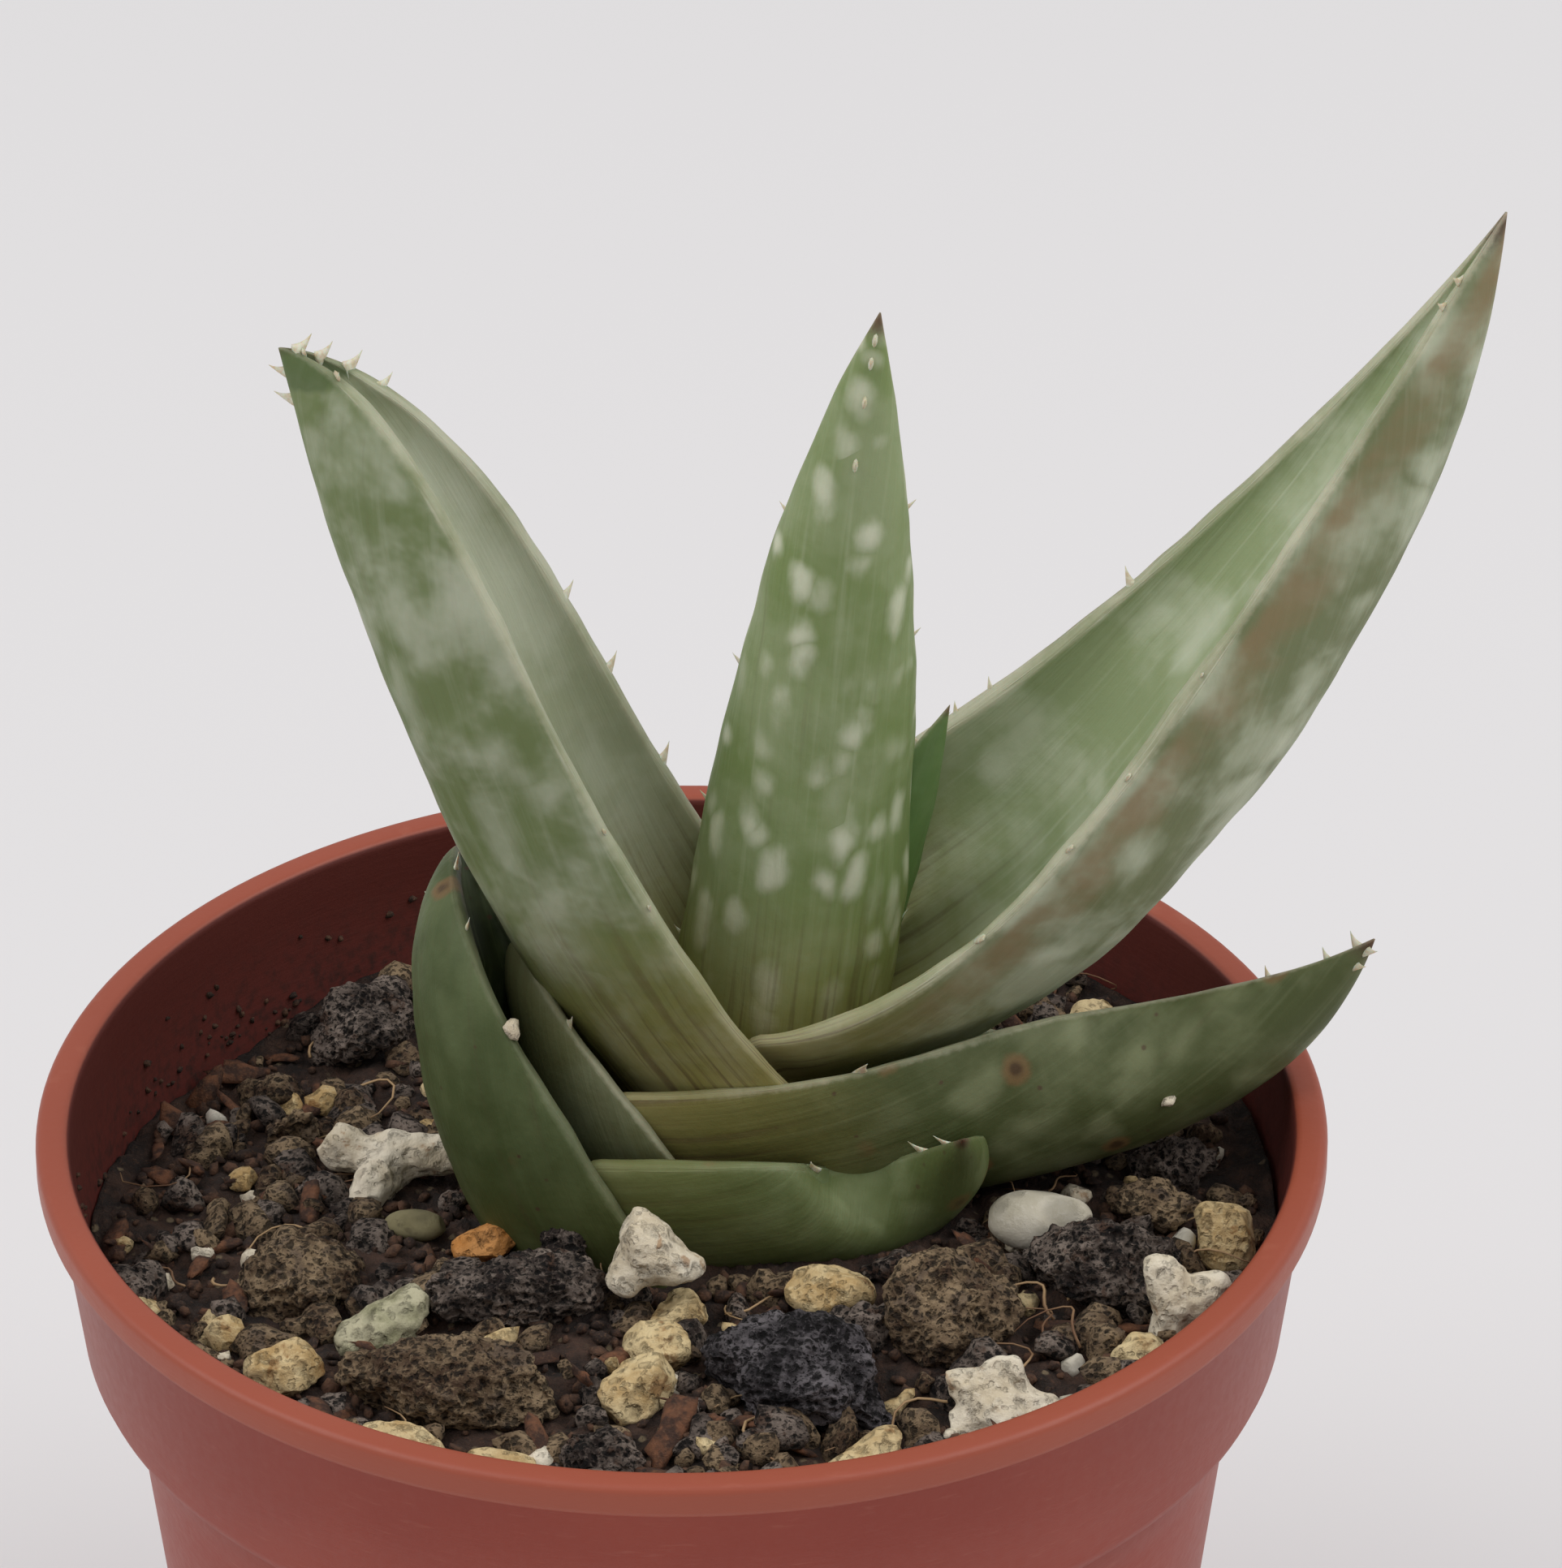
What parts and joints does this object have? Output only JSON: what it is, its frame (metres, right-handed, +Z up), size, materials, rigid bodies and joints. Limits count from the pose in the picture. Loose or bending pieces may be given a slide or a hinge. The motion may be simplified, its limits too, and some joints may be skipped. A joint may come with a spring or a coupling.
{
  "type": "potted aloe",
  "caption": "Young two-ranked aloe with channelled, prickly grey-green leaves in a round tapered plastic nursery pot of gritty soil topped with pumice and lava.",
  "frame": {"origin": "centre of the pot's flat underside", "axes": "+Z up along the pot's axis; +X along the fan of leaves toward the tall right leaf; -Y toward the side the picture shows"},
  "size_m": [0.0725, 0.065, 0.1016],
  "materials": {
    "pot_plastic": "satin terracotta-coloured plastic",
    "soil": "dark peaty grit",
    "stem": "dry stem",
    "leaf_youngest": "waxy living leaf, spotted",
    "leaf_centre": "waxy living leaf, spotted",
    "leaf_right_tall": "waxy living leaf, spotted",
    "leaf_left_tall": "waxy living leaf, spotted",
    "leaf_right_low": "waxy living leaf, spotted",
    "leaf_left_inner": "waxy living leaf, spotted",
    "leaf_front_short": "waxy living leaf, spotted",
    "leaf_left_low": "waxy living leaf, spotted",
    "pebble": "worn pebble",
    "pumice": "pale porous pumice",
    "yellow_stone": "crumbly yellow clay and pumice",
    "lava": "dark porous lava",
    "brown_stone": "brown porous lava"
  },
  "bodies": {
    "root": {"pot": "pot_plastic", "soil": "soil", "stem": "stem", "leaf_youngest": "leaf_youngest", "leaf_centre": "leaf_centre", "leaf_right_tall": "leaf_right_tall", "leaf_left_tall": "leaf_left_tall", "leaf_right_low": "leaf_right_low", "leaf_left_inner": "leaf_left_inner", "leaf_front_short": "leaf_front_short", "leaf_left_low": "leaf_left_low", "stone_fork_white": "pumice", "stone_white_by_leaf": "pumice", "stone_yellow_under": "yellow_stone", "stone_orange": "yellow_stone", "stone_grey_green": "pebble", "stone_dark_back": "lava", "stone_dark_left": "lava", "stone_pumice_green": "pumice", "stone_yellow_left": "yellow_stone", "stone_brown_front": "brown_stone", "stone_black": "lava", "stone_yellow_mid": "yellow_stone", "stone_yellow_front": "yellow_stone", "stone_cream_mid": "yellow_stone", "stone_grey_small": "lava", "stone_brown_right": "brown_stone", "stone_white_oval": "pebble", "stone_porous_grey": "lava", "stone_brown_yellow": "brown_stone", "stone_dark_right": "lava", "stone_yellow_right": "yellow_stone", "stone_white_right": "pumice", "stone_cream_right": "yellow_stone", "stone_knobbly_white": "pumice", "stone_cream_front": "yellow_stone", "stone_cream_shard": "yellow_stone", "stone_orange_front": "yellow_stone", "stone_dark_front": "lava", "stone_brown_left": "brown_stone", "stone_dark_far": "lava", "stone_bark_left": "brown_stone", "stone_grey_far": "lava", "stone_white_far": "pumice", "stone_yellow_far": "yellow_stone"}
  },
  "joints": []
}
